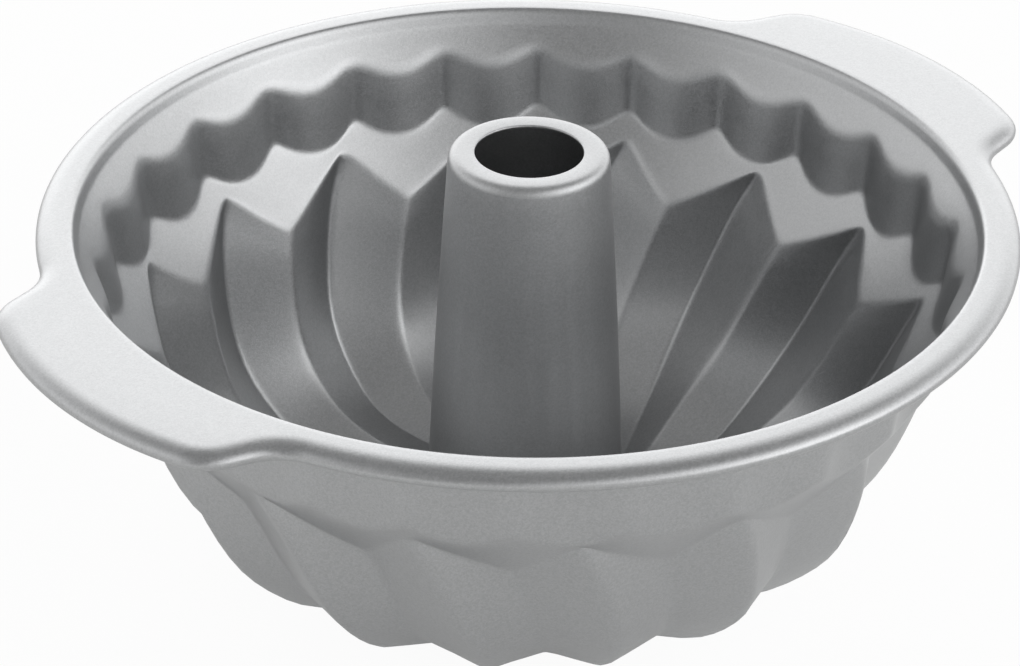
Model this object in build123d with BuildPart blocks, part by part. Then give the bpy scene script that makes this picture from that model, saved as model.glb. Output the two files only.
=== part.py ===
from build123d import *
from math import atan2, cos, hypot, radians, sin, tan
import os

# Fluted ring cake mould: a deep drawn steel bowl with a flat rim, two handle tabs and a
# rolled edge over a wire, and a tapering centre tube seated on the bowl's collar.
# Millimetres. Origin on the axis in the plane that the flutes stand on, X along the handles.

# Sheet and rim
sheet = 1.0
throat_radius = 125.0
throat_height = 102.5
step_rise = 4.2
step_flare = 1.4
step_bend_radius = 0.8
rim_width = 10.2

# Rolled edge and the wire inside it
roll_radius = 2.7
roll_end_turn = 165.0
wire_clearance = 0.1

# Handle tabs, measured to the outside of the rolled edge
handle_reach = 19.8
handle_root_width = 102.0
handle_taper_angle = 15.0
handle_arc_radius = 114.0
handle_corner_radius = 15.0
handle_blend_radius = 16.0

# Funnel band, and under it the scalloped wall, which leans outward and flattens as it rises
funnel_angle = 56.0
scallop_count = 26
scallop_turn = 7.1
notch_inset = 5.7
scallop_depth = 4.5
notch_foot_round = 2.5
notch_top_round = 16.0
notch_lean = 2.4
scallop_lean = 4.8

# Conical shelf between the scalloped wall and the flutes
shelf_drop = 24.0
shelf_angle = 53.5

# Swirled flutes: each outer fold, and the inner fold that leads it, runs from inside the
# scalloped wall over the foot to the seat round the tube. Shares of the reach from the seat
# to the scallops, of the height from floor to shelf and of the pitch between flutes.
flute_count = 16
outer_fold_reach_shares = (0.973, 0.995, 0.956, 0.892, 0.796, 0.651, 0.457, 0.247, 0.116, 0)
outer_fold_height_shares = (1.052, 0.922, 0.760, 0.558, 0.344, 0.174, 0.041, 0, 0.005, 0.045)
outer_fold_turns = (10.6, 12.2, 15.1, 17.7, 20.0, 20.9, 20.3, 16.7, 12.7, 9.5)
inner_fold_reach_shares = (0.895, 0.868, 0.827, 0.780, 0.698, 0.586, 0.425, 0.247, 0.116, 0)
inner_fold_height_shares = (1.052, 0.788, 0.655, 0.525, 0.348, 0.207, 0.103, 0.043, 0.039, 0.045)
inner_fold_lead_shares = (0.658, 0.609, 0.529, 0.484, 0.471, 0.489, 0.533, 0.600, 0.636, 0.644)

# Centre tube, its foot, and the collar that it is pressed over
tube_foot_radius = 28.7
tube_top_radius = 22.4
tube_rise = 23.0
tube_top_bend_radius = 1.6
tube_lip_width = 7.3
tube_foot_flange = 5.0
tube_foot_bend_radius = 1.6
collar_height = 8.0
collar_clearance = 0.1
seat_margin = 4.0

# Cuts and joined bodies run past each other by this much
overrun = 2.0

# Places worked out from the sizes
rim_top = throat_height + step_rise
step_radius = throat_radius + step_flare
step_round = step_bend_radius + sheet
rim_radius = step_radius + rim_width
handle_end = rim_radius + handle_reach
edge_radius = rim_radius - roll_radius
wire_radius = roll_radius - sheet - wire_clearance
roll_turn = 360 + 90 - roll_end_turn
notch_radius = throat_radius - notch_inset
scallop_radius = notch_radius - scallop_depth
scallop_pitch = 360 / scallop_count
shelf_height = throat_height - shelf_drop
flute_pitch = 360 / flute_count
tube_top = throat_height + tube_rise
seat_radius = tube_foot_radius + tube_foot_flange + seat_margin
collar_radius = tube_foot_radius - sheet - collar_clearance


def polar(radius, turn, height):
    """Point at a radius, a turn in degrees and a height."""
    return Vector(radius * cos(radians(turn)), radius * sin(radians(turn)), height)


def fold_points(reach_shares, height_shares, turns):
    """Points of a fold on the inner face of the sheet."""
    reach = scallop_radius - seat_radius
    rise = shelf_height - sheet
    return [
        polar(seat_radius + reach_share * reach, turn, sheet + height_share * rise)
        for reach_share, height_share, turn in zip(reach_shares, height_shares, turns)
    ]


def turned(points, turn):
    """The same points turned about the axis."""
    return [point.rotate(Axis.Z, turn) for point in points]


def mitre(first, second):
    """Step from the inner to the outer face at a fold between faces with these normals."""
    return (first + second) * (sheet / (1 + first.dot(second)))


def outside(fold, left, right):
    """The fold on the outer face of the sheet, mitred between its two neighbours."""
    points = []
    for index, point in enumerate(fold):
        run = fold[min(index + 1, len(fold) - 1)] - fold[max(index - 1, 0)]
        first = (left[index] - point).cross(run).normalized()
        second = run.cross(right[index] - point).normalized()
        points.append(point + mitre(first, second))
    points[0] = fold[0] + Vector(fold[0].X, fold[0].Y, 0).normalized() * sheet
    points[-1] = fold[-1] - Vector(0, 0, sheet)
    return points


def fluted_body(outer_fold, inner_fold):
    """Solid bounded by ruled facets between the folds, flat at its top and at the seat."""
    folds = []
    for index in range(flute_count):
        folds.append(turned(outer_fold, index * flute_pitch))
        folds.append(turned(inner_fold, index * flute_pitch))
    edges = [Edge.make_spline(points) for points in folds]
    facets = [
        Face.make_surface_from_curves(edge, edges[(index + 1) % len(edges)])
        for index, edge in enumerate(edges)
    ]
    ends = [Face(Wire.make_polygon([points[end] for points in folds])) for end in (0, -1)]
    return Solid(Shell(facets + ends))


outer_fold = fold_points(outer_fold_reach_shares, outer_fold_height_shares, outer_fold_turns)
inner_fold_turns = [
    turn + share * flute_pitch
    for turn, share in zip(outer_fold_turns, inner_fold_lead_shares)
]
inner_fold = fold_points(inner_fold_reach_shares, inner_fold_height_shares, inner_fold_turns)
flutes_inside = fluted_body(outer_fold, inner_fold)
flutes_outside = fluted_body(
    outside(outer_fold, turned(inner_fold, -flute_pitch), inner_fold),
    outside(inner_fold, outer_fold, turned(outer_fold, flute_pitch)),
)
seat_height = outer_fold[-1].Z
tube_taper = (tube_foot_radius - tube_top_radius) / (tube_top - seat_height)
collar_lean = collar_height * tube_taper


def scalloped_outline(lobe, point, rounding, widening):
    """Round lobes that bulge inward and meet in rounded outward notches, then widened."""
    with BuildSketch() as outline:
        with BuildLine():
            for index in range(scallop_count):
                turn = scallop_turn + index * scallop_pitch
                ThreePointArc(
                    polar(point, turn, 0),
                    polar(lobe, turn + scallop_pitch / 2, 0),
                    polar(point, turn + scallop_pitch, 0),
                )
        make_face()
        fillet(outline.vertices(), rounding)
        if widening:
            offset(amount=widening, kind=Kind.ARC)
    return outline.sketch


# Cones of the shelf, which ends inside the flutes at their third points, and of the funnel
shelf_slope = tan(radians(shelf_angle))
shelf_radius = hypot(inner_fold[2].X, inner_fold[2].Y) - overrun
shelf_base = shelf_height - (notch_radius - shelf_radius) * shelf_slope
shelf_reach = notch_radius + sheet + overrun
shelf_reach_height = shelf_height + (shelf_reach - notch_radius) * shelf_slope
wall_foot = shelf_height - scallop_depth * shelf_slope
funnel_radius = scallop_radius - overrun
funnel_base = throat_height - (throat_radius - funnel_radius) * tan(radians(funnel_angle))
wall_top = throat_height - (throat_radius - notch_radius) * tan(radians(funnel_angle)) / 2

# Steps from the inner to the outer face of the cones, the throat and the rim
shelf_lowering = sheet / cos(radians(shelf_angle))
funnel_lowering = sheet / cos(radians(funnel_angle))
step_angle = atan2(step_rise, step_flare)
funnel_normal = Vector(sin(radians(funnel_angle)), -cos(radians(funnel_angle)))
step_normal = Vector(sin(step_angle), -cos(step_angle))
throat_mitre = mitre(funnel_normal, step_normal)
rim_mitre = mitre(step_normal, Vector(0, -1))


def scalloped_body(widening, lowering):
    """The scalloped wall from the shelf's cone, lowered to the wanted face, to the funnel."""
    foot = scalloped_outline(scallop_radius, notch_radius, notch_foot_round, widening)
    top = scalloped_outline(
        scallop_radius + scallop_lean, notch_radius + notch_lean, notch_top_round, widening
    )
    with BuildPart() as body:
        with BuildSketch(Plane.XY.offset(wall_foot)):
            add(foot)
        with BuildSketch(Plane.XY.offset(wall_top)):
            add(top)
        loft(ruled=True)
        with BuildSketch(Plane.XY.offset(wall_foot)):
            add(foot)
        extrude(amount=shelf_base - lowering - wall_foot)
        with BuildSketch(Plane.XZ):
            with BuildLine():
                Polyline(
                    (0, shelf_base - lowering),
                    (shelf_radius, shelf_base - lowering),
                    (shelf_reach, shelf_reach_height - lowering),
                    (shelf_reach, rim_top),
                    (0, rim_top),
                    close=True,
                )
            make_face()
        revolve(axis=Axis.Z, mode=Mode.INTERSECT)
    return body.part


# Everything inside the bowl's inner face
with BuildPart() as cavity:
    add(scalloped_body(0, 0))
    with BuildSketch(Plane.XZ) as throat:
        with BuildLine():
            Polyline(
                (0, funnel_base),
                (funnel_radius, funnel_base),
                (throat_radius, throat_height),
                (step_radius, rim_top),
                (step_radius + step_round, rim_top),
                (step_radius + step_round, rim_top + overrun),
                (0, rim_top + overrun),
                close=True,
            )
        make_face()
        fillet(throat.vertices().sort_by_distance((step_radius, rim_top))[0], step_round)
    revolve(axis=Axis.Z)
    add(flutes_inside)

# Outline of the rim and its handle tabs along the middle of the rolled edge
handle_taper = tan(radians(handle_taper_angle))
handle_root = handle_root_width / 2 - roll_radius / cos(radians(handle_taper_angle))
with BuildSketch() as handle:
    with Locations((handle_end - handle_arc_radius, 0)):
        Circle(handle_arc_radius - roll_radius)
    with BuildLine(mode=Mode.PRIVATE) as sides:
        Polyline(
            (0, handle_root + rim_radius * handle_taper),
            (handle_end, handle_root - handle_reach * handle_taper),
            (handle_end, handle_reach * handle_taper - handle_root),
            (0, -handle_root - rim_radius * handle_taper),
            close=True,
        )
    make_face(sides.edges(), mode=Mode.INTERSECT)
    fillet(handle.vertices().group_by(Axis.X)[-1], handle_corner_radius - roll_radius)
with BuildSketch() as outline:
    Circle(edge_radius)
    add(handle.sketch)
    mirror(handle.sketch, about=Plane.YZ)
    fillet(
        outline.vertices().sort_by_distance((0, 0, 0))[:4],
        handle_blend_radius + roll_radius,
    )
edge_path = outline.wire().moved(Location((0, 0, rim_top - roll_radius)))
edge_start = edge_path @ 0
edge_run = edge_path % 0
edge_side = Vector(edge_start.X, edge_start.Y)
edge_side -= edge_run * edge_side.dot(edge_run)
edge_plane = Plane(edge_start, x_dir=edge_side, z_dir=edge_side.cross(Vector(0, 0, 1)))

# Bowl: pressed sheet with a flat rim, a rolled edge and a collar round its centre hole
with BuildPart() as bowl:
    add(scalloped_body(sheet, shelf_lowering))
    with BuildSketch(Plane.XZ) as throat_outside:
        with BuildLine():
            Polyline(
                (0, funnel_base - funnel_lowering),
                (funnel_radius, funnel_base - funnel_lowering),
                (throat_radius + throat_mitre.X, throat_height + throat_mitre.Y),
                (step_radius + rim_mitre.X, rim_top + rim_mitre.Y),
                (edge_radius, rim_top - sheet),
                (edge_radius, rim_top),
                (0, rim_top),
                close=True,
            )
        make_face()
        under_rim = (step_radius + rim_mitre.X, rim_top + rim_mitre.Y)
        fillet(
            throat_outside.vertices().sort_by_distance(under_rim)[0],
            step_bend_radius,
        )
    revolve(axis=Axis.Z)
    add(flutes_outside)
    with BuildSketch(Plane.XY.offset(rim_top - sheet)):
        add(outline.sketch)
    extrude(amount=sheet)
    add(cavity.part, mode=Mode.SUBTRACT)
    # Rolled edge, open on its inner side below the rim
    with BuildSketch(edge_plane):
        with BuildLine():
            skin = CenterArc((0, 0), roll_radius, roll_end_turn, roll_turn)
            lining = CenterArc((0, 0), roll_radius - sheet, roll_end_turn, roll_turn)
            Line(skin @ 0, lining @ 0)
            Line(skin @ 1, lining @ 1)
        make_face()
    sweep(path=edge_path)
    # Flats that the flutes stand on
    with BuildSketch():
        Circle(rim_radius)
    extrude(amount=-overrun, mode=Mode.SUBTRACT)
    # Centre hole and the collar turned up round it
    with BuildSketch(Plane.XY.offset(seat_height)):
        Circle(collar_radius - sheet)
    extrude(amount=overrun, both=True, mode=Mode.SUBTRACT)
    with BuildSketch(Plane.XZ):
        with BuildLine():
            Polyline(
                (collar_radius - sheet, seat_height - sheet),
                (collar_radius + overrun, seat_height - sheet),
                (collar_radius + overrun, seat_height),
                (collar_radius, seat_height),
                (collar_radius - collar_lean, seat_height + collar_height),
                (collar_radius - collar_lean - sheet, seat_height + collar_height),
                (collar_radius - sheet, seat_height),
                close=True,
            )
        make_face()
    revolve(axis=Axis.Z)
bowl.part.label = "fluted_bowl"

# Wire inside the rolled edge
with BuildPart() as wire:
    with BuildSketch(edge_plane):
        Circle(wire_radius)
    sweep(path=edge_path)
wire.part.label = "rim_wire"

# Centre tube: tapered wall, flat top with a round mouth, foot flange on the bowl's seat
tube_corners = (
    ((tube_top_radius, tube_top), tube_top_bend_radius + sheet),
    ((tube_top_radius - sheet, tube_top - sheet), tube_top_bend_radius),
    ((tube_foot_radius, seat_height + sheet), tube_foot_bend_radius),
    ((tube_foot_radius - sheet, seat_height), tube_foot_bend_radius + sheet),
)
with BuildPart() as tube:
    with BuildSketch(Plane.XZ) as wall:
        with BuildLine():
            Polyline(
                (tube_top_radius - tube_lip_width, tube_top),
                tube_corners[0][0],
                tube_corners[2][0],
                (tube_foot_radius + tube_foot_flange, seat_height + sheet),
                (tube_foot_radius + tube_foot_flange, seat_height),
                tube_corners[3][0],
                tube_corners[1][0],
                (tube_top_radius - tube_lip_width, tube_top - sheet),
                close=True,
            )
        make_face()
        for corner, radius in tube_corners:
            fillet(wall.vertices().sort_by_distance(corner)[0], radius)
    revolve(axis=Axis.Z)
tube.part.label = "centre_tube"

os.makedirs("parts", exist_ok=True)
for piece in (bowl, wire, tube):
    export_step(piece.part, f"parts/{piece.part.label}.step")
    print(piece.part.label, piece.part.is_valid, len(piece.part.solids()), piece.part.volume)
    print(piece.part.bounding_box())
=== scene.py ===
import math

import bpy
import numpy as np
from mathutils import Matrix, Vector


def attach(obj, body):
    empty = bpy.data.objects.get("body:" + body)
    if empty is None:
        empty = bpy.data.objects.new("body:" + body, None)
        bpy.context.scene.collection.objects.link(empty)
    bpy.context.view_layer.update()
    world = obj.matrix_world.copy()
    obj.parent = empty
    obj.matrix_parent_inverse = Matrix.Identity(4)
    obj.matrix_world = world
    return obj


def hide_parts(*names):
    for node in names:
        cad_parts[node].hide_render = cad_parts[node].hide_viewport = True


# A fluted ring cake mould of coated steel, dressed over its CAD frame.
# Lengths are in millimetres until a mesh is made, which is in metres.

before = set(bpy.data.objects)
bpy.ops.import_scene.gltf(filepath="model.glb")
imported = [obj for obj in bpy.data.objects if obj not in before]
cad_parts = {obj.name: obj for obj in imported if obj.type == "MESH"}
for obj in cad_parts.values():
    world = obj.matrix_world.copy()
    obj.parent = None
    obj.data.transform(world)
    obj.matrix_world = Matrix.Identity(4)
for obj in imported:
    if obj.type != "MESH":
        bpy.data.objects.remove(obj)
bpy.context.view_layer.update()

MM = 0.001

# The bowl's sizes, as the CAD part has them
SHEET, CURL_SHEET = 1.0, 0.6
THROAT_RADIUS, THROAT_HEIGHT = 125.0, 102.5
STEP_RADIUS, RIM_TOP = 126.4, 106.7
FUNNEL_SLOPE = math.tan(math.radians(56))
SCALLOPS, SCALLOP_TURN = 26, 7.6
NOTCH_RADIUS, SCALLOP_RADIUS = 119.3, 114.8

# Scallops at the foot and at the top of the wall, which leans outward: radius of the notches
# before they are rounded, radius of the lobes, and how many times the line is softened
WALL_FOOT, WALL_TOP = (119.7, 114.8, 9), (122.2, 118.2, 30)
SHELF_HEIGHT = 78.5
SHELF_SLOPE = math.tan(math.radians(53.5))
SEAT_RADIUS, SEAT_HEIGHT = 37.7, 4.4875
COLLAR_RADIUS, COLLAR_HEIGHT, COLLAR_LEAN = 27.6, 8.0, 0.42

# From the step to the start of the rim's flat
FLAT_START = 2.2

# Its folds, as shares of the reach and of the height, then the turn in degrees
FLUTES = 16
OUTER_FOLD = (
    (0.973, 1.052, 10.6), (0.995, 0.922, 12.2), (0.956, 0.760, 15.1), (0.892, 0.558, 17.7),
    (0.796, 0.344, 20.0), (0.651, 0.174, 20.9), (0.457, 0.041, 20.3), (0.247, 0, 16.7),
    (0.116, 0.005, 12.7), (0, 0.045, 9.5),
)
INNER_FOLD = (
    (0.895, 1.052, 0.658), (0.868, 0.788, 0.609), (0.827, 0.655, 0.529), (0.780, 0.525, 0.484),
    (0.698, 0.348, 0.471), (0.586, 0.207, 0.489), (0.425, 0.103, 0.533), (0.247, 0.043, 0.600),
    (0.116, 0.039, 0.636), (0, 0.045, 0.644),
)

# Outline of the rim and its two handle tabs
RIM_RADIUS, HANDLE_END, HANDLE_ARC = 136.6, 156.4, 114.0
HANDLE_ROOT, HANDLE_TAPER = 51.0, math.radians(15)
CORNER_RADIUS, BLEND_RADIUS = 15.0, 16.0

# Columns of the bowl's mesh: every notch and every fold lies on one of them
COLUMNS = 832
PER_FLUTE = COLUMNS // FLUTES
FOLD_COLUMN, WIDE_FACET = 8, 34
FLUTE_ROWS = 24

# Columns to either side of an inner fold that are softened more than the rest
INNER_FOLD_REACH = 9


# ---------------------------------------------------------------- shapes

def spline(points):
    """A natural cubic through the points, as a function of their count."""
    points = np.array(points, float)
    count = len(points)
    system = np.eye(count)
    right = np.zeros_like(points)
    for i in range(1, count - 1):
        system[i, i - 1:i + 2] = 1, 4, 1
        right[i] = 6 * (points[i - 1] - 2 * points[i] + points[i + 1])
    bend = np.linalg.solve(system, right)

    def at(t):
        i = np.clip(np.floor(t).astype(int), 0, count - 2)
        b = (t - i)[..., None]
        a = 1 - b
        return (
            a * points[i] + b * points[i + 1]
            + ((a**3 - a) * bend[i] + (b**3 - b) * bend[i + 1]) / 6
        )

    return at


def polar(radius, turn, height):
    """Points from radii, turns in degrees and heights."""
    turn = np.radians(turn)
    parts = np.broadcast_arrays(radius * np.cos(turn), radius * np.sin(turn), height)
    return np.stack(parts, axis=-1).astype(float)


def turned(points, turn):
    """Points turned about the axis, each by its own angle in degrees."""
    c, s = np.cos(np.radians(turn)), np.sin(np.radians(turn))
    x, y = points[..., 0], points[..., 1]
    return np.stack((c * x - s * y, s * x + c * y, points[..., 2]), axis=-1)


def rounded(rows, corners):
    """Rows with each named one, {index: (reach, steps)}, replaced by a curve through its corner."""
    made = []
    for index, row in enumerate(rows):
        if index not in corners:
            made.append(row)
            continue
        reach, steps = corners[index]
        ends = []
        for other in (rows[index - 1], rows[index + 1]):
            leg = other - row
            length = np.linalg.norm(leg, axis=-1, keepdims=True)
            ends.append(row + leg * np.minimum(reach / length, 0.48))
        for s in np.linspace(0, 1, steps + 1):
            made.append((1 - s)**2 * ends[0] + 2 * s * (1 - s) * row + s**2 * ends[1])
    return made


def softened(points, passes):
    """Points evened out along the columns."""
    for _ in range(passes):
        points = (np.roll(points, 1, axis=-2) + 2 * points + np.roll(points, -1, axis=-2)) / 4
    return points


def fold_curve(shares, lead):
    """A fold on the inner face of the sheet. lead tells if its turns are shares of the pitch."""
    reach, height, turn = np.array(shares).T
    if lead:
        turn = np.array(OUTER_FOLD)[:, 2] + turn * 360 / FLUTES
    radius = SEAT_RADIUS + reach * (SCALLOP_RADIUS - SEAT_RADIUS)
    return spline(polar(radius, turn, SHEET + height * (SHELF_HEIGHT - SHEET)))


def shelf_at(radius):
    """Height of the shelf's cone."""
    return SHELF_HEIGHT + (radius - NOTCH_RADIUS) * SHELF_SLOPE


def flute_rows(turns):
    """Rows of the swirled flutes, from the seat up to the line where they meet the shelf."""
    outer, inner = fold_curve(OUTER_FOLD, False), fold_curve(INNER_FOLD, True)
    column = np.arange(COLUMNS) - FOLD_COLUMN
    flute, step = np.divmod(column, PER_FLUTE)
    wide = step < WIDE_FACET
    share = np.where(wide, step / WIDE_FACET, (step - WIDE_FACET) / (PER_FLUTE - WIDE_FACET))
    pitch = 360 / FLUTES

    def surface(t):
        a, b = outer(t), inner(t)
        start = np.where(wide[:, None], a, b)
        end = np.where(wide[:, None], b, turned(a, pitch))
        return turned(start + (end - start) * share[:, None], flute * pitch)

    low, high = np.full(COLUMNS, 0.3), np.full(COLUMNS, 3.0)
    for _ in range(30):
        middle = (low + high) / 2
        point = surface(middle)
        above = point[:, 2] > shelf_at(np.hypot(point[:, 0], point[:, 1]))
        low, high = np.where(above, middle, low), np.where(above, high, middle)
    last = len(OUTER_FOLD) - 1
    return [surface(last + (low - last) * s) for s in np.linspace(0, 1, FLUTE_ROWS)]


def scalloped(turns, tip, deep, passes):
    """Radius of the scalloped wall: lobes that bulge inward and meet in softened notches."""
    half = math.radians(180 / SCALLOPS)
    sag = tip * math.cos(half) - deep
    lobe = ((tip * math.sin(half))**2 + sag**2) / (2 * sag)
    centre = deep + lobe
    turn = np.radians((turns - SCALLOP_TURN) % (360 / SCALLOPS)) - half
    radius = centre * np.cos(turn) - np.sqrt(lobe**2 - (centre * np.sin(turn))**2)
    return softened(radius[:, None], passes)[:, 0]


def outline(turns):
    """Outermost line of the rim and handles at each turn, and its outward normals."""
    normal = np.array((math.sin(HANDLE_TAPER), math.cos(HANDLE_TAPER)))
    along = np.array((normal[1], -normal[0]))
    side = normal @ (RIM_RADIUS, HANDLE_ROOT)
    hub = np.array((HANDLE_END - HANDLE_ARC, 0))

    def centre(offset, pivot, distance):
        across = side + offset
        run = math.sqrt(distance**2 - (across - pivot @ normal)**2) + pivot @ along
        return normal * across + along * run

    corner = centre(-CORNER_RADIUS, hub, HANDLE_ARC - CORNER_RADIUS)
    blend = centre(BLEND_RADIUS, np.zeros(2), RIM_RADIUS + BLEND_RADIUS)
    bend = math.atan2(*(corner - hub)[::-1])
    taper = math.pi / 2 - HANDLE_TAPER
    leave = math.atan2(blend[1], blend[0])
    arcs = (
        (hub, HANDLE_ARC, 0, bend, 1),
        (corner, CORNER_RADIUS, bend, taper, 1),
        (blend, BLEND_RADIUS, taper + math.pi, leave + math.pi, -1),
        (np.zeros(2), RIM_RADIUS, leave, math.pi / 2, 1),
    )
    points, normals = [], []
    for middle, radius, start, end, way in arcs:
        angle = np.linspace(start, end, 2 + int(radius * abs(end - start) / 0.1))
        spoke = np.stack((np.cos(angle), np.sin(angle)), axis=1)
        points.append(middle + radius * spoke)
        normals.append(way * spoke)
    points, normals = np.concatenate(points), np.concatenate(normals)
    reached = np.degrees(np.arctan2(points[:, 1], points[:, 0]))
    quarter, within = np.divmod(turns % 360, 90)
    within = np.where(quarter % 2 == 0, within, 90 - within)
    sign_x = np.where((quarter == 1) | (quarter == 2), -1, 1)
    sign_y = np.where(quarter > 1, -1, 1)

    def read(values):
        x, y = (np.interp(within, reached, values[:, axis]) for axis in (0, 1))
        return np.stack((sign_x * x, sign_y * y, np.zeros(len(x))), axis=1)

    spokes = read(normals)
    return read(points), spokes / np.linalg.norm(spokes, axis=1, keepdims=True)


# Section of the rolled edge, from the outline inward and from the throat's crease up: the flat
# of the rim bends down along a quarter of an ellipse, then curls back under round the wire
FLAT_HEIGHT, BEND_WIDTH, BEND_DROP = 4.2, 5.6, 3.2
CURL_RADIUS = 2.0
BEND_TURNS = (90, 80, 70, 60, 50, 40, 30, 20, 10, 0)
CURL_TURNS = (-18, -36, -54, -74, -96, -122, -150, -178, -200)


def edge_section():
    """Points of the section as offsets along the outline's normal and heights."""
    middle = FLAT_HEIGHT - BEND_DROP
    bend = [
        (BEND_WIDTH * (math.cos(t) - 1), middle + BEND_DROP * math.sin(t))
        for t in map(math.radians, BEND_TURNS)
    ]
    curl = [
        (CURL_RADIUS * (math.cos(t) - 1), middle + CURL_RADIUS * math.sin(t))
        for t in map(math.radians, CURL_TURNS)
    ]
    return bend + curl


def bowl_surface():
    """Upper face of the pressed sheet: rows from the collar in the middle to the roll's end."""
    turns = SCALLOP_TURN + np.arange(COLUMNS) * 360 / COLUMNS
    flutes = np.stack(flute_rows(turns))
    half = PER_FLUTE // 2
    from_inner = np.abs((np.arange(COLUMNS) - FOLD_COLUMN - WIDE_FACET + half) % PER_FLUTE - half)
    by_inner = (from_inner < INNER_FOLD_REACH)[:, None]
    flutes = np.where(by_inner, softened(flutes, 4), softened(flutes, 2))
    # The outer folds run out round under the shelf
    for row, share in ((-1, 1), (-2, 0.6), (-3, 0.3)):
        round_end = softened(flutes[row], 7) * share + flutes[row] * (1 - share)
        flutes[row] = np.where(by_inner, flutes[row], round_end)
    seat_turns = np.degrees(np.arctan2(flutes[0, :, 1], flutes[0, :, 0]))
    rows = [
        polar(COLLAR_RADIUS - COLLAR_LEAN, seat_turns, SEAT_HEIGHT + COLLAR_HEIGHT),
        polar(COLLAR_RADIUS, seat_turns, SEAT_HEIGHT),
    ]
    corners = {1: (0.8, 2)}
    rows += list(flutes)
    corners[len(rows) - 1] = (2.0, 3)

    # Shelf, scalloped wall, funnel and step
    foot = rows[-1]
    foot_radius = np.hypot(foot[:, 0], foot[:, 1])
    foot_turn = np.degrees(np.arctan2(foot[:, 1], foot[:, 0]))
    drift = (turns - foot_turn + 180) % 360 - 180
    low, high = scalloped(turns, *WALL_FOOT), scalloped(turns, *WALL_TOP)
    for share in (0.35, 0.7, 1):
        radius = foot_radius + (low - foot_radius) * share
        rows.append(polar(radius, foot_turn + drift * share, shelf_at(radius)))
    corners[len(rows) - 1] = (1.6, 3)
    shoulder_height = THROAT_HEIGHT - (THROAT_RADIUS - high) * FUNNEL_SLOPE
    rows.append(polar((low + high) / 2, turns, (shelf_at(low) + shoulder_height) / 2))
    rows.append(polar(high, turns, shoulder_height))
    corners[len(rows) - 1] = (3.0, 5)
    radius = high * 0.3 + THROAT_RADIUS * 0.7
    rows.append(polar(radius, turns, THROAT_HEIGHT - (THROAT_RADIUS - radius) * FUNNEL_SLOPE))
    rows.append(polar(THROAT_RADIUS, turns, THROAT_HEIGHT))
    corners[len(rows) - 1] = (0.7, 2)
    rows.append(polar(STEP_RADIUS, turns, RIM_TOP))
    corners[len(rows) - 1] = (2.0, 4)

    # Rim and rolled edge, whose section follows the outline
    line, normals = outline(turns)
    inner_edge = polar(STEP_RADIUS + FLAT_START, turns, RIM_TOP)
    sections = [
        line + normals * offset + (0, 0, THROAT_HEIGHT + height)
        for offset, height in edge_section()
    ]
    rows += [inner_edge, inner_edge * 0.5 + sections[0] * 0.5] + sections
    rows = rounded(rows, corners)
    surface = np.stack(rows)
    first = 2 + 2 + FLUTE_ROWS
    last = len(rows) - len(sections) - 2
    surface[first:last] = softened(surface[first:last], 1)
    return surface, len(sections)


def under_side(surface, thickness):
    """The sheet's other face, on every second column."""
    down = np.gradient(surface, axis=0)
    across = (np.roll(surface, -1, axis=1) - np.roll(surface, 1, axis=1)) / 2
    normal = np.cross(down, across)
    normal /= np.linalg.norm(normal, axis=-1, keepdims=True)
    return (surface - normal * thickness[:, None, None])[:, ::2]


def new_piece(name, points, faces, material, node):
    """A smooth mesh piece from points in millimetres, which stands for a CAD node."""
    mesh = bpy.data.meshes.new(name)
    mesh.from_pydata((points * MM).tolist(), [], faces)
    mesh.polygons.foreach_set("use_smooth", [True] * len(mesh.polygons))
    mesh.materials.append(material)
    mesh.update()
    piece = bpy.data.objects.new(name, mesh)
    bpy.context.scene.collection.objects.link(piece)
    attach(piece, "root")
    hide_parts(node)
    return piece


def sheet_faces(rows):
    """Faces of the closed sheet: upper face, under side with half the columns, and both ends."""
    half = COLUMNS // 2
    base = rows * COLUMNS
    top = lambda i, j: i * COLUMNS + j % COLUMNS
    under = lambda i, j: base + i * half + j % half
    faces = []
    for i in range(rows - 1):
        faces += [
            (top(i, j), top(i + 1, j), top(i + 1, j + 1), top(i, j + 1)) for j in range(COLUMNS)
        ]
        faces += [
            (under(i, j), under(i, j + 1), under(i + 1, j + 1), under(i + 1, j))
            for j in range(half)
        ]
    end = rows - 1
    for j in range(half):
        k = 2 * j
        faces.append((top(0, k), top(0, k + 1), top(0, k + 2), under(0, j + 1), under(0, j)))
        faces.append(
            (top(end, k + 2), top(end, k + 1), top(end, k), under(end, j), under(end, j + 1))
        )
    return faces


def ring_faces(rounds, around):
    """Faces of a grid that is closed both ways, such as a lathed tube or a bent wire."""
    return [
        (i * around + j, i * around + (j + 1) % around,
         (i + 1) % rounds * around + (j + 1) % around, (i + 1) % rounds * around + j)
        for i in range(rounds) for j in range(around)
    ]


# ---------------------------------------------------------------- finishes

def colour(code):
    """An sRGB hex colour as linear values for a shader."""
    parts = [int(code[i:i + 2], 16) / 255 for i in (1, 3, 5)]
    return [p / 12.92 if p <= 0.04045 else ((p + 0.055) / 1.055)**2.4 for p in parts] + [1]


def add(tree, kind, inputs=None, **settings):
    """Adds a node with its settings, and with its inputs set or linked."""
    made = tree.nodes.new("ShaderNode" + kind)
    for key, value in settings.items():
        setattr(made, key, value)
    for socket, value in (inputs or {}).items():
        if isinstance(value, bpy.types.NodeSocket):
            tree.links.new(value, made.inputs[socket])
        else:
            made.inputs[socket].default_value = value
    return made


def blank(name):
    """A material with an empty node tree."""
    material = bpy.data.materials.new(name)
    material.use_nodes = True
    material.node_tree.nodes.clear()
    return material, material.node_tree


FLAKE_WIDTH, FLAKE_CLUSTER, FLAKE_RELIEF = 0.4, 0.9, 0.08


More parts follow.
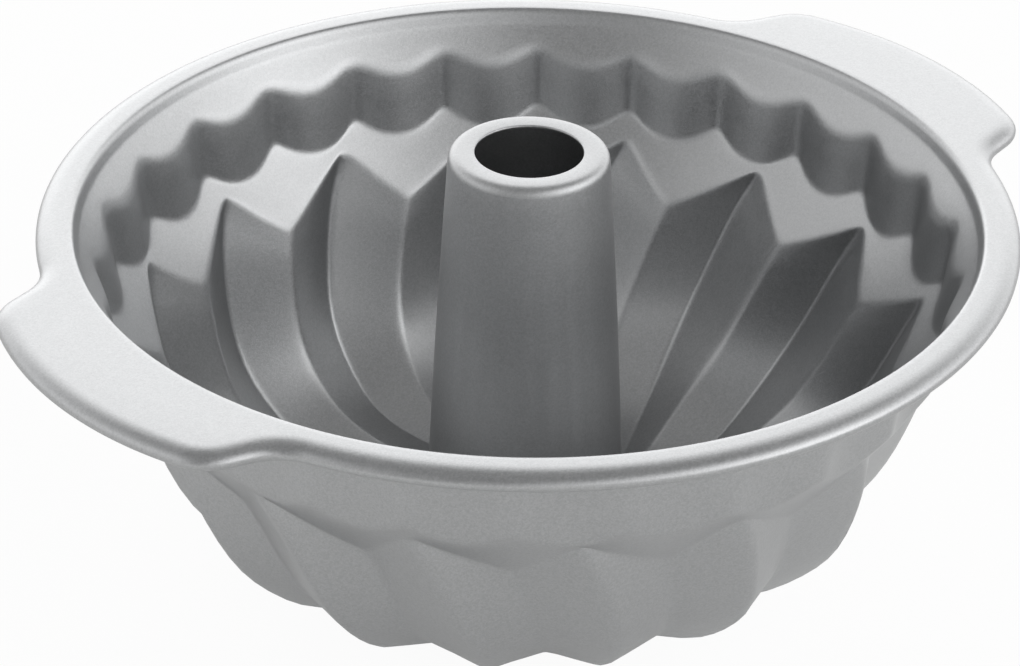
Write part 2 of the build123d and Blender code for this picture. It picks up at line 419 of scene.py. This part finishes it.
def flake_coating(name, dark, light, roughness):
    """Non-stick coating with aluminium flake, sprayed and baked on pressed steel.

    The flakes lie nearly flat, so it shines like satin metal, and their edges catch the light
    as a fine fleck. Real flakes are 0.05 mm; they are drawn 0.4 mm across, so that they show."""
    material, tree = blank(name)
    place = add(tree, "TexCoord").outputs["Object"]
    flakes = add(tree, "TexVoronoi", {"Vector": place, "Scale": 1000 / FLAKE_WIDTH}, feature="F1")
    grain = add(tree, "TexNoise", {
        "Vector": place, "Scale": 1000 / FLAKE_CLUSTER, "Detail": 2.0,
    })
    tone = add(tree, "SeparateColor", {0: flakes.outputs["Color"]}).outputs[0]
    blended = add(tree, "Mix", {"Factor": 0.5, 2: tone, 3: grain.outputs["Fac"]}, data_type="FLOAT")
    shade = add(tree, "Mix", {"Factor": blended.outputs[0], 6: colour(dark), 7: colour(light)},
                data_type="RGBA")
    sheen = add(tree, "MapRange", {
        "Value": tone, "To Min": roughness - 0.03, "To Max": roughness + 0.05,
    })
    relief = add(tree, "Bump", {
        "Strength": 0.3, "Distance": FLAKE_RELIEF * MM, "Height": blended.outputs[0],
    })
    shader = add(tree, "BsdfPrincipled", {
        "Base Color": shade.outputs[2], "Metallic": 1.0, "Roughness": sheen.outputs[0],
        "Normal": relief.outputs[0],
    })
    add(tree, "OutputMaterial", {"Surface": shader.outputs[0]})
    return material


def drawn_wire(name):
    """Bright mild steel wire, drawn through a die, which leaves fine lines along it."""
    material, tree = blank(name)
    place = add(tree, "TexCoord").outputs["Object"]
    lines = add(tree, "TexNoise", {"Vector": place, "Scale": 1000 / 0.3, "Detail": 3.0})
    sheen = add(tree, "MapRange", {"Value": lines.outputs["Fac"], "To Min": 0.25, "To Max": 0.4})
    shader = add(tree, "BsdfPrincipled", {
        "Base Color": colour("#b8b8b6"), "Metallic": 1.0, "Roughness": sheen.outputs[0],
    })
    add(tree, "OutputMaterial", {"Surface": shader.outputs[0]})
    return material


bowl_coating = flake_coating("satin_flake_coating_on_bowl", "#a6a7a8", "#c0c1c2", 0.33)
tube_coating = flake_coating("satin_flake_coating_on_tube", "#a6a7a8", "#c0c1c2", 0.4)
wire_steel = drawn_wire("drawn_steel_wire")


# ---------------------------------------------------------------- the mould

surface, section_rows = bowl_surface()
rows = len(surface)
thickness = np.full(rows, SHEET)
thickness[rows - section_rows + 2:] = CURL_SHEET
under = under_side(surface, thickness)
points = np.concatenate((surface.reshape(-1, 3), under.reshape(-1, 3)))
new_piece("pressed_bowl", points, sheet_faces(rows), bowl_coating, "fluted_bowl")

# Centre tube, turned from its section. The photograph shows its wall to swell a little halfway.
TUBE_TOP, TUBE_TOP_RADIUS, TUBE_FOOT_RADIUS = 125.5, 22.4, 28.7
TUBE_LIP, TUBE_FLANGE, TUBE_SWELL = 7.3, 5.0, 0.45
FOOT_GAP = 0.02
TUBE_COLUMNS = 192


def tube_section():
    """Closed section of the tube: flat lip, rounded shoulder, wall, foot flange, back inside."""
    heights = np.linspace(TUBE_TOP, SEAT_HEIGHT, 14)
    share = (TUBE_TOP - heights) / (TUBE_TOP - SEAT_HEIGHT)
    wall = TUBE_TOP_RADIUS + (TUBE_FOOT_RADIUS - TUBE_TOP_RADIUS) * share
    wall += TUBE_SWELL * np.sin(math.pi * share)
    outside = [(r, z) for r, z in zip(wall[1:-1], heights[1:-1])]
    lip = TUBE_TOP_RADIUS - TUBE_LIP
    loop = [(lip, TUBE_TOP), (TUBE_TOP_RADIUS, TUBE_TOP)] + outside
    loop += [(TUBE_FOOT_RADIUS, SEAT_HEIGHT + SHEET)]
    loop += [(TUBE_FOOT_RADIUS + TUBE_FLANGE, SEAT_HEIGHT + SHEET)]
    loop += [(TUBE_FOOT_RADIUS + TUBE_FLANGE, SEAT_HEIGHT + FOOT_GAP)]
    loop += [(TUBE_FOOT_RADIUS - SHEET, SEAT_HEIGHT + FOOT_GAP)]
    loop += [(r - SHEET, z) for r, z in outside[::-1]]
    loop += [(TUBE_TOP_RADIUS - SHEET, TUBE_TOP - SHEET), (lip, TUBE_TOP - SHEET)]
    count = len(outside)
    corners = {
        1: (2.9, 7), count + 2: (1.8, 4), count + 3: (0.4, 2), count + 4: (0.2, 1),
        count + 5: (1.2, 2), 2 * count + 6: (1.8, 4), 2 * count + 7: (0.4, 2),
    }
    loop = [np.array(p, float) for p in loop]
    closed = [loop[-1]] + loop + [loop[0]]
    made = rounded(closed, {k + 1: v for k, v in corners.items()} | {1: (0.45, 3)})
    return np.array(made[1:-1])


section = tube_section()
tube_turns = np.arange(TUBE_COLUMNS) * 360 / TUBE_COLUMNS
tube_points = polar(section[None, :, 0], tube_turns[:, None], section[None, :, 1])
new_piece("centre_funnel_tube", tube_points.reshape(-1, 3), ring_faces(TUBE_COLUMNS, len(section)),
          tube_coating, "centre_tube")

# Wire inside the bead
WIRE_RADIUS, WIRE_COLUMNS, WIRE_SIDES = 1.3, 416, 12
line, normals = outline(SCALLOP_TURN + np.arange(WIRE_COLUMNS) * 360 / WIRE_COLUMNS)
around = np.arange(WIRE_SIDES) * 2 * math.pi / WIRE_SIDES
offset = WIRE_RADIUS * np.cos(around) - CURL_RADIUS
height = THROAT_HEIGHT + FLAT_HEIGHT - BEND_DROP + WIRE_RADIUS * np.sin(around)
wire_points = line[:, None] + normals[:, None] * offset[None, :, None]
wire_points = wire_points + np.stack((0 * height, 0 * height, height), axis=1)[None]
new_piece("edge_wire_ring", wire_points.reshape(-1, 3), ring_faces(WIRE_COLUMNS, WIRE_SIDES),
          wire_steel, "rim_wire")


# ---------------------------------------------------------------- floor, light and camera

TURN = math.radians(-39.8)   # from the camera's own frame, x right and y away, to the mould's


def from_camera_side(x, y, z):
    """A point or direction given with x to the right and y away from the camera."""
    c, s = math.cos(TURN), math.sin(TURN)
    return Vector((x * c - y * s, x * s + y * c, z))


# The floor is lifted towards white: nearly wholly where it is seen, partly where the metal
# mirrors it. What is left of its own light keeps a trace of the mould's shadow.
SEEN_LIFT, MIRRORED_LIFT = 0.95, 0.2

FLOOR_REACH, FLOOR_GAP = 4, 0.0002   # in metres
floor_mesh = bpy.data.meshes.new("studio_floor")
floor_mesh.from_pydata(
    [(FLOOR_REACH * x, FLOOR_REACH * y, 0) for x, y in ((-1, -1), (1, -1), (1, 1), (-1, 1))],
    [], [(0, 1, 2, 3)],
)
floor = bpy.data.objects.new("studio_floor", floor_mesh)
floor.location.z = -FLOOR_GAP
bpy.context.scene.collection.objects.link(floor)
paper, tree = blank("white_studio_paper")
path = add(tree, "LightPath")
mirrored = add(tree, "Math", {
    0: path.outputs["Is Glossy Ray"], 1: path.outputs["Is Transmission Ray"],
}, operation="MAXIMUM")
part = add(tree, "Math", {0: mirrored.outputs[0], 1: MIRRORED_LIFT}, operation="MULTIPLY")
share = add(tree, "Math", {0: path.outputs["Is Camera Ray"], 1: SEEN_LIFT, 2: part.outputs[0]},
            operation="MULTIPLY_ADD")
fibre = add(tree, "TexNoise", {"Vector": add(tree, "TexCoord").outputs["Object"], "Scale": 400.0})
tone = add(tree, "Mix", {
    "Factor": fibre.outputs["Fac"], 6: colour("#f3f3f2"), 7: colour("#f7f7f6"),
}, data_type="RGBA")
matt = add(tree, "BsdfPrincipled", {"Base Color": tone.outputs[2], "Roughness": 0.9,
                                    "Specular IOR Level": 0.2})
lift = add(tree, "Emission", {"Color": (1, 1, 1, 1), "Strength": 1.0})
lifted = add(tree, "MixShader", {"Fac": share.outputs[0], 1: matt.outputs[0], 2: lift.outputs[0]})
add(tree, "OutputMaterial", {"Surface": lifted.outputs[0]})
floor_mesh.materials.append(paper)


world = bpy.data.worlds.new("white_studio")
bpy.context.scene.world = world
world.use_nodes = True
tree = world.node_tree
tree.nodes.clear()
direction = add(tree, "TexCoord").outputs["Generated"]

# Soft light of the studio: from where, on the camera's axes, and how strong
GLOWS = (
    ((0, 0, 1), 0.38),
    ((0, 1, 0.14), 1.8),
    ((1, 0, 0.14), 1.25),
    ((0.7, -0.7, 0.14), 1.3),
    ((-1, 0, 0.14), 0.66),
    ((-0.7, 0.7, 0.14), 0.55),
    ((-0.7, -0.7, 0.14), 0.52),
    ((0.7, 0.7, 0.14), 0.28),
)
total = 0.0
for toward, strength in GLOWS:
    facing = add(tree, "VectorMath", {0: direction, 1: from_camera_side(*toward).normalized()},
                 operation="DOT_PRODUCT")
    glow = add(tree, "MapRange", {
        "Value": facing.outputs["Value"], "From Min": 0.5, "From Max": 1.0, "To Max": strength,
    }, interpolation_type="SMOOTHSTEP")
    total = add(tree, "Math", {0: glow.outputs[0], 1: total}, operation="ADD").outputs[0]
studio = add(tree, "Background", {"Color": (1, 1, 1, 1), "Strength": total})
add(tree, "OutputWorld", {"Surface": studio.outputs[0]})

# Camera, from the perspective of the rim's circles in the photograph
DISTANCE, ELEVATION, ROLL = 1.11796, 0.5122, 0.0134
AIM_RIGHT, AIM_DOWN = -0.0042, 0.0273
FOCAL_PIXELS, PHOTO_WIDTH = 4007.5, 1020
centre = Vector((0, 0, THROAT_HEIGHT * MM))
away = Vector((0, -math.cos(ELEVATION), math.sin(ELEVATION))) * DISTANCE
tilt = ELEVATION + AIM_DOWN
forward = Vector((0, math.cos(tilt), -math.sin(tilt)))
side = Vector((1, 0, 0))
up = side.cross(forward)
ahead = forward * math.cos(AIM_RIGHT) + side * math.sin(AIM_RIGHT)
across = side * math.cos(AIM_RIGHT) - forward * math.sin(AIM_RIGHT)
level, steep = math.cos(ROLL), math.sin(ROLL)
right_axis = across * level + up * steep
up_axis = up * level - across * steep
axes = [from_camera_side(*v) for v in (right_axis, up_axis, -ahead)]
matrix = Matrix((axes[0], axes[1], axes[2])).transposed().to_4x4()
matrix.translation = centre + from_camera_side(*away)
lens = bpy.data.cameras.new("photo_camera")
lens.sensor_width = 36
lens.sensor_fit = "HORIZONTAL"
lens.lens = FOCAL_PIXELS * lens.sensor_width / PHOTO_WIDTH
lens.clip_start, lens.clip_end = 0.05, 20
camera = bpy.data.objects.new("photo_camera", lens)
camera.matrix_world = matrix
bpy.context.scene.collection.objects.link(camera)
bpy.context.scene.camera = camera
bpy.context.scene.view_settings.view_transform = "Standard"
